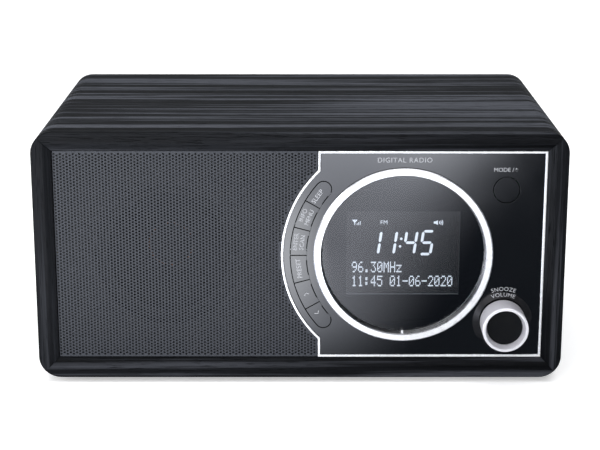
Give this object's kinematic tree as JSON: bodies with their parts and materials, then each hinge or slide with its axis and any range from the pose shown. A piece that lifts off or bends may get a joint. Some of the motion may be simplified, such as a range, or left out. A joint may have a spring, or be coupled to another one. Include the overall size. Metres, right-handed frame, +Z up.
{
  "type": "tabletop radio",
  "caption": "Tabletop digital radio in a black wooden cabinet, with a perforated speaker grille, a round display, flap buttons, a volume knob and a telescopic rear aerial.",
  "frame": {"origin": "middle of the footprint, with the aerial folded, on the surface the feet stand on", "axes": "+X to the right seen from the front, +Y from the front to the back, +Z up"},
  "size_m": [0.24, 0.1656, 0.118],
  "materials": {
    "wood_side": "black ash veneer, satin lacquer",
    "wood_frame": "black ash, satin lacquer",
    "raw_wood": "sawn",
    "foot_rubber": "matt",
    "black_moulding": "fine spark texture",
    "zinc_screw": "zinc plated",
    "grille_metal": "satin black powder coat, perforated",
    "chrome_trim": "bright plated",
    "gloss_panel": "piano gloss",
    "ring_chrome": "bright satin plated",
    "smoked_lens": "smoked, clear gloss",
    "lcd_panel": "anti-glare polariser",
    "light_guide": "white diffuser",
    "knob_metal": "turned and polished",
    "knob_inset": "satin black",
    "circuit_board": "solder mask",
    "speaker_steel": "black",
    "gasket_foam": "closed cell foam",
    "magnet_ferrite": "sintered",
    "coil_copper": "enamelled wire",
    "cone_paper": "pressed paper",
    "surround_rubber": "matt",
    "spider_cloth": "varnished cloth",
    "flat_cable": "grey vinyl",
    "aerial_chrome": "bright plated"
  },
  "bodies": {
    "radio": {"cabinet_sleeve": "wood_side", "frame_top_rail": "wood_frame", "frame_bottom_rail": "wood_frame", "frame_left_rail": "wood_frame", "frame_right_rail": "wood_frame", "cabinet_blocks": "raw_wood", "rubber_feet": "foot_rubber", "front_chassis": "black_moulding", "front_screws": "zinc_screw", "speaker_grille": "grille_metal", "fascia_trim": "chrome_trim", "control_fascia": "gloss_panel", "button_switches": "black_moulding", "display_ring": "ring_chrome", "display_lens": "smoked_lens", "display_mask": "black_moulding", "lcd_frame": "black_moulding", "lcd_glass": "lcd_panel", "lcd_backlight": "light_guide", "encoder_case": "black_moulding", "control_board": "circuit_board", "speaker_basket": "speaker_steel", "speaker_gasket": "gasket_foam", "speaker_top_plate": "speaker_steel", "speaker_magnet": "magnet_ferrite", "speaker_yoke": "speaker_steel", "speaker_surround": "surround_rubber", "speaker_spider": "spider_cloth", "rear_cover": "black_moulding", "rear_screws": "zinc_screw", "main_board": "circuit_board", "line_in_socket": "black_moulding", "headphone_socket": "black_moulding", "dc_inlet_socket": "black_moulding", "tuner_module": "speaker_steel", "capacitors": "black_moulding", "ribbon_cable": "flat_cable", "ribbon_sockets": "black_moulding"},
    "sleep_flap": {"sleep_button": "gloss_panel"},
    "menu_flap": {"menu_button": "gloss_panel"},
    "scan_flap": {"scan_button": "gloss_panel"},
    "preset_flap": {"preset_button": "gloss_panel"},
    "up_flap": {"up_button": "gloss_panel"},
    "down_flap": {"down_button": "gloss_panel"},
    "mode_flap": {"mode_button": "gloss_panel"},
    "encoder_push": {"encoder_plunger": "zinc_screw"},
    "knob": {"volume_knob": "knob_metal", "knob_cap": "knob_inset", "encoder_shaft": "zinc_screw"},
    "speaker_motor": {"voice_coil": "coil_copper", "speaker_cone": "cone_paper", "speaker_dust_cap": "cone_paper"},
    "turret": {"aerial_turret": "aerial_chrome", "aerial_washer": "aerial_chrome", "aerial_hinge_pin": "aerial_chrome"},
    "knuckle": {"aerial_knuckle": "aerial_chrome", "aerial_section_1": "aerial_chrome"},
    "section_2": {"aerial_section_2": "aerial_chrome"},
    "section_3": {"aerial_section_3": "aerial_chrome"},
    "tip_section": {"aerial_tip_section": "aerial_chrome"}
  },
  "joints": [
    {"name": "sleep_press", "type": "hinge", "parent": "radio", "child": "sleep_flap", "pos_m": [0.01086, -0.07, 0.08567], "axis": [-0.5764, 0, -0.8171], "range_deg": [0, 4.3], "stiffness_Nm_per_rad": 0.14},
    {"name": "menu_press", "type": "hinge", "parent": "radio", "child": "menu_flap", "pos_m": [0.00616, -0.07, 0.07713], "axis": [-0.3827, 0, -0.9239], "range_deg": [0, 4.3], "stiffness_Nm_per_rad": 0.14},
    {"name": "scan_press", "type": "hinge", "parent": "radio", "child": "scan_flap", "pos_m": [0.00318, -0.07, 0.06601], "axis": [-0.1305, 0, -0.9914], "range_deg": [0, 4.3], "stiffness_Nm_per_rad": 0.14},
    {"name": "preset_press", "type": "hinge", "parent": "radio", "child": "preset_flap", "pos_m": [0.00318, -0.07, 0.05449], "axis": [0.1305, 0, -0.9914], "range_deg": [0, 4.3], "stiffness_Nm_per_rad": 0.14},
    {"name": "up_press", "type": "hinge", "parent": "radio", "child": "up_flap", "pos_m": [0.00616, -0.07, 0.04337], "axis": [0.3827, 0, -0.9239], "range_deg": [0, 4.3], "stiffness_Nm_per_rad": 0.14},
    {"name": "down_press", "type": "hinge", "parent": "radio", "child": "down_flap", "pos_m": [0.01086, -0.07, 0.03483], "axis": [0.5764, 0, -0.8171], "range_deg": [0, 4.3], "stiffness_Nm_per_rad": 0.14},
    {"name": "mode_press", "type": "hinge", "parent": "radio", "child": "mode_flap", "pos_m": [0.09285, -0.07, 0.0966], "axis": [1, 0, 0], "range_deg": [0, 2.8], "stiffness_Nm_per_rad": 0.25},
    {"name": "knob_push", "type": "slide", "parent": "radio", "child": "encoder_push", "axis": [0, 1, 0], "range_m": [0, 0.0004], "stiffness_N_per_m": 4000},
    {"name": "knob_turn", "type": "hinge", "parent": "encoder_push", "child": "knob", "pos_m": [0.0929, -0.0729, 0.0286], "axis": [0, 1, 0], "continuous": true},
    {"name": "cone_stroke", "type": "slide", "parent": "radio", "child": "speaker_motor", "axis": [0, 1, 0], "range_m": [-0.001, 0.001], "stiffness_N_per_m": 1500, "deforming": ["speaker_surround", "speaker_spider"]},
    {"name": "aerial_swivel", "type": "hinge", "parent": "radio", "child": "turret", "pos_m": [0.088, 0.0799, 0.10025], "axis": [0, 1, 0], "range_deg": [0, 180]},
    {"name": "aerial_tilt", "type": "hinge", "parent": "turret", "child": "knuckle", "pos_m": [0.088, 0.0799, 0.10025], "axis": [0, 0, -1], "range_deg": [0, 90]},
    {"name": "section_2_slide", "type": "slide", "parent": "knuckle", "child": "section_2", "axis": [-1, 0, 0], "range_m": [0, 0.1]},
    {"name": "section_3_slide", "type": "slide", "parent": "section_2", "child": "section_3", "axis": [-1, 0, 0], "range_m": [0, 0.1]},
    {"name": "tip_slide", "type": "slide", "parent": "section_3", "child": "tip_section", "axis": [-1, 0, 0], "range_m": [0, 0.1]}
  ]
}
